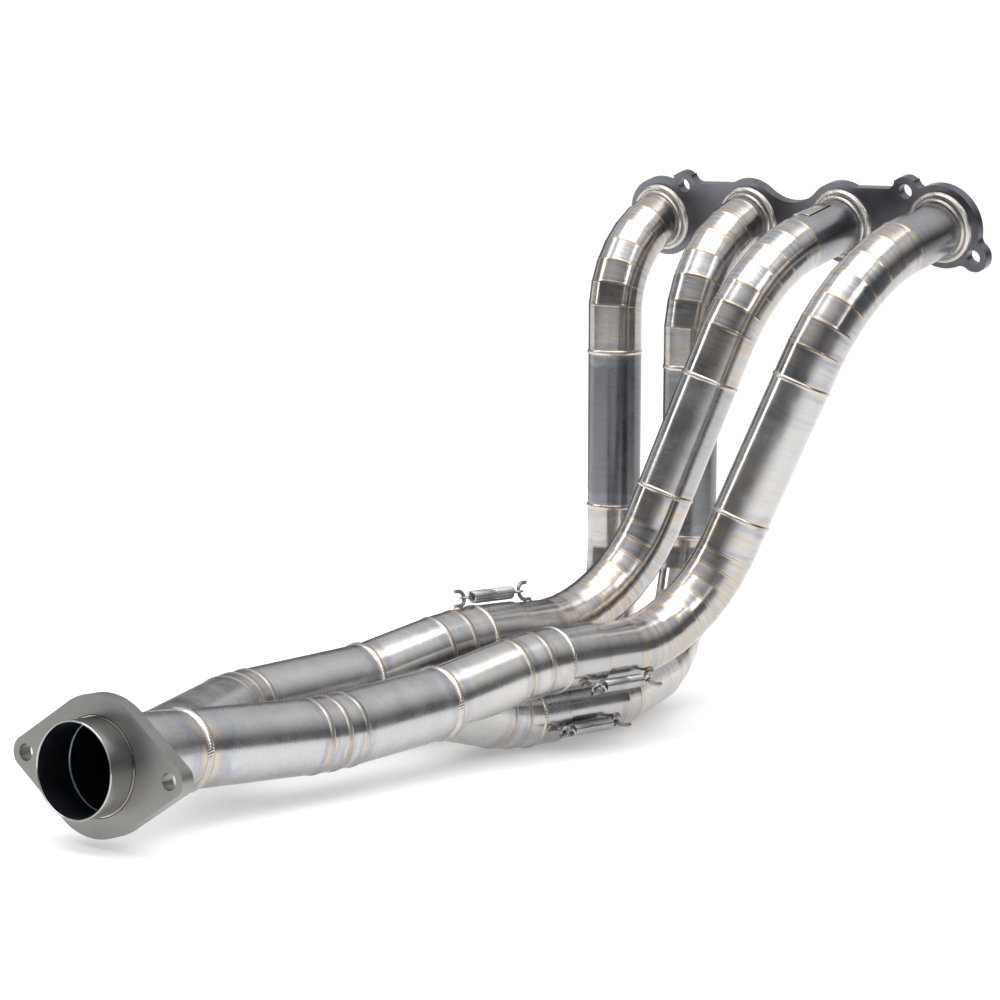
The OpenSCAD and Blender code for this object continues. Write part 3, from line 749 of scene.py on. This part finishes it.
for k in range(4):
    er, et = joint_axes(k)
    ends = (("hook", HOOK_Y[k], HOOK_BASE[k], 1, C), ("eye", EYE_Y[k], PRIMARY / 2, -1, P))
    for label, y, base, s, body in ends:
        ob = sweep(f"{label}_{k + 1}", lug_points(k, y, base, s), ROD / 2, 12, body, "lug_rod", LUG)
        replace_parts(ob, f"{'collector' if s > 0 else 'primary'}_lug_{k + 1}")
        feet = Build()
        puddle(feet, SLIP[k] + vec(0, y - s * 2.5, 0) + er * base, er, vec(0, 1, 0), 4.6)
        feet.make(f"{label}_weld_{k + 1}", [PUDDLE], body, "weld_bead")
    loop = (SPRING_OD - WIRE) / 2
    low = HOOK_Y[k] + (SPRING_R - HOOK_BASE[k] - ROD / 2) - ROD / 2 - 0.1 - WIRE / 2 + loop
    high = EYE_Y[k] - (SPRING_R - PRIMARY / 2 - ROD / 2) + ROD / 2 + 0.1 + WIRE / 2 - loop
    o = SLIP[k] + er * SPRING_R

    def at(y, radius=0.0, angle=0.0):
        return o + vec(0, y, 0) + radius * (er * math.cos(angle) + et * math.sin(angle))

    pts = []
    for q in np.linspace(-0.3, 2 * math.pi - 0.5, 30):
        spread = er * 0.35 * (q - 3) / 3
        pts.append(o + vec(0, low + loop * math.cos(q), 0) + et * loop * math.sin(q) + spread)
    y0, y1 = low + loop + 3.2, high - loop - 3.2
    turns = int((y1 - y0) / 2.08)
    for q in np.linspace(0, 1, 10)[1:]:
        e = q * q * (3 - 2 * q)
        foot = low + loop * math.cos(0.5)
        pts.append(at(foot + (y0 - foot) * q, loop * e, -math.pi / 2 + q * 1.6))
    for q in np.linspace(0, turns, turns * 20)[1:]:
        pts.append(at(y0 + (y1 - y0) * q / turns, loop, -math.pi / 2 + 1.6 + q * 2 * math.pi))
    end = -math.pi / 2 + 1.6 + turns * 2 * math.pi
    for q in np.linspace(0, 1, 10)[1:]:
        e = 1 - q * q * (3 - 2 * q)
        pts.append(at(y1 + (high - loop * math.cos(0.5) - y1) * q, loop * e, end + q * 1.6))
    for q in np.linspace(0.5, 2 * math.pi + 0.3, 30):
        spread = er * 0.35 * (q - 3) / 3
        pts.append(o + vec(0, high - loop * math.cos(q), 0) + et * loop * math.sin(q) + spread)
    ob = sweep(f"coil_{k + 1}", pts, WIRE / 2, 8, None, "spring_steel", SPRING)
    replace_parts(ob, f"spring_{k + 1}")
    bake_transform(ob)

# ---------------------------------------------------------------- plates that keep the CAD's own shape
# The head flange takes the dark plate colour, which is painted shade.
for node, mat in (("head_flange", SHADED_PLATE), ("outlet_flange", BLASTED)):
    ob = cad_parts[node]
    ob.data.materials.clear()
    ob.data.materials.append(mat)
    ob.data.polygons.foreach_set("use_smooth", [True] * len(ob.data.polygons))
    bevel = ob.modifiers.new("edge", "BEVEL")
    bevel.width, bevel.segments, bevel.limit_method, bevel.angle_limit = 0.001, 2, "ANGLE", math.radians(50)
    bevel.harden_normals = False
    ob.modifiers.new("normals", "WEIGHTED_NORMAL").keep_sharp = True

# ---------------------------------------------------------------- stage
scene = bpy.context.scene
floor_z = cad_low[2] - 0.0008
floor_mat = bpy.data.materials.new("floor")
floor_mat.use_nodes = True
bsdf = floor_mat.node_tree.nodes["Principled BSDF"]
bsdf.inputs["Base Color"].default_value = (0.93, 0.93, 0.93, 1)
bsdf.inputs["Roughness"].default_value = 0.55
bsdf.inputs["Emission Color"].default_value = (1, 1, 1, 1)
bsdf.inputs["Emission Strength"].default_value = 0.26
HALF_FLOOR = 2600
corners = [vec(x * HALF_FLOOR, y * HALF_FLOOR, floor_z / MM) for x, y in ((-1, -1), (1, -1), (1, 1), (-1, 1))]
floor = mesh_object("floor", corners, [[0, 1, 2, 3]], [floor_mat], None, None)
floor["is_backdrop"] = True
world = bpy.data.worlds.new("studio")
scene.world = world
scene.view_settings.view_transform = "Standard"
world.use_nodes = True
wt = world.node_tree
direction = wt.nodes.new("ShaderNodeTexCoord")
parts = wt.nodes.new("ShaderNodeSeparateXYZ")
wt.links.new(direction.outputs["Generated"], parts.inputs[0])


def sky_ramp(source, stops):
    node = wt.nodes.new("ShaderNodeValToRGB")
    elements = node.color_ramp.elements
    while len(elements) < len(stops):
        elements.new(0.5)
    for element, (place, level) in zip(elements, stops):
        element.position, element.color = place, (level, level * 1.005, level * 1.015, 1)
    wt.links.new(source, node.inputs[0])
    return node.outputs[0]


# a white backdrop stands behind the header; the room on the other side is dark up to the ceiling light
room = sky_ramp(parts.outputs[2], [(0.0, 1.0), (0.11, 1.0), (0.125, 0.06), (0.3, 0.16), (0.5, 0.55),
                                   (0.7, 0.95), (1.0, 0.75)])
backdrop = sky_ramp(parts.outputs[2], [(0.0, 1.0), (0.4, 1.0), (0.62, 0.55), (1.0, 0.75)])
toward = wt.nodes.new("ShaderNodeVectorMath")
toward.operation = "DOT_PRODUCT"
toward.inputs[1].default_value = (-0.68, 0.73, 0.0)
wt.links.new(direction.outputs["Generated"], toward.inputs[0])
share = sky_ramp(toward.outputs["Value"], [(0.0, 0.0), (0.45, 0.0), (0.85, 1.0)])
blend = wt.nodes.new("ShaderNodeMix")
blend.data_type = "RGBA"
wt.links.new(share, blend.inputs[0])
wt.links.new(room, blend.inputs[6])
wt.links.new(backdrop, blend.inputs[7])
wt.links.new(blend.outputs[2], wt.nodes["Background"].inputs[0])
wt.nodes["Background"].inputs[1].default_value = 1.05


card_mat = bpy.data.materials.new("dark_room")
card_mat.use_nodes = True
card_mat.node_tree.nodes["Principled BSDF"].inputs["Base Color"].default_value = (0.10, 0.10, 0.105, 1)
card_mat.node_tree.nodes["Principled BSDF"].inputs["Roughness"].default_value = 1.0


def dark_wall(name, first, last, radius, bottom, top):
    """Curved dark wall round the header between two azimuths, seen only in reflections."""
    turn = np.radians(np.linspace(first, last, 33))
    low = [vec(radius * math.sin(q), -380 - radius * math.cos(q), bottom) for q in turn]
    high = [x + vec(0, 0, top - bottom) for x in low]
    faces = [[i, i + 1, i + 34, i + 33] for i in range(32)]
    ob = mesh_object(name, low + high, faces, [card_mat], None, None)
    ob.visible_camera = ob.visible_shadow = ob.visible_diffuse = False
    ob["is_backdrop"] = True


dark_wall("wall_camera_side", -75, 150, 1500, floor_z / MM, 150)
dark_wall("wall_far_left", -150, -110, 1500, floor_z / MM, 500)


def area(name, loc, target, size, power):
    light = bpy.data.lights.new(name, "AREA")
    light.shape = "RECTANGLE"
    light.size, light.size_y = size
    light.energy = power
    ob = bpy.data.objects.new(name, light)
    ob.location = Vector(loc)
    ob.rotation_mode = "QUATERNION"
    ob.rotation_quaternion = (Vector(target) - Vector(loc)).to_track_quat("-Z", "Y")
    scene.collection.objects.link(ob)


area("key", (0.2, -0.7, 2.2), (0.0, -0.35, -0.2), (3.0, 2.0), 50)
area("left", (-1.7, -1.3, 0.9), (0.0, -0.4, -0.2), (0.3, 1.5), 9)
area("right", (2.0, -0.6, 0.9), (0.0, -0.3, -0.2), (0.25, 1.2), 6)

cam_data = bpy.data.cameras.new("camera")
cam_data.sensor_width = 36
cam_data.lens = 89.29
cam = bpy.data.objects.new("camera", cam_data)
scene.collection.objects.link(cam)
right = vec(0.73075, 0.68135, 0.04211)
up = vec(-0.10686, 0.05325, 0.99285)
ahead = vec(-0.67423, 0.73002, -0.11172)
m = Matrix.Identity(4)
for i in range(3):
    m[i][0], m[i][1], m[i][2] = right[i], up[i], -ahead[i]
m.translation = Vector((1.22565, -1.67845, -0.01228))
cam.matrix_world = m
scene.camera = cam

low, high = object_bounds()
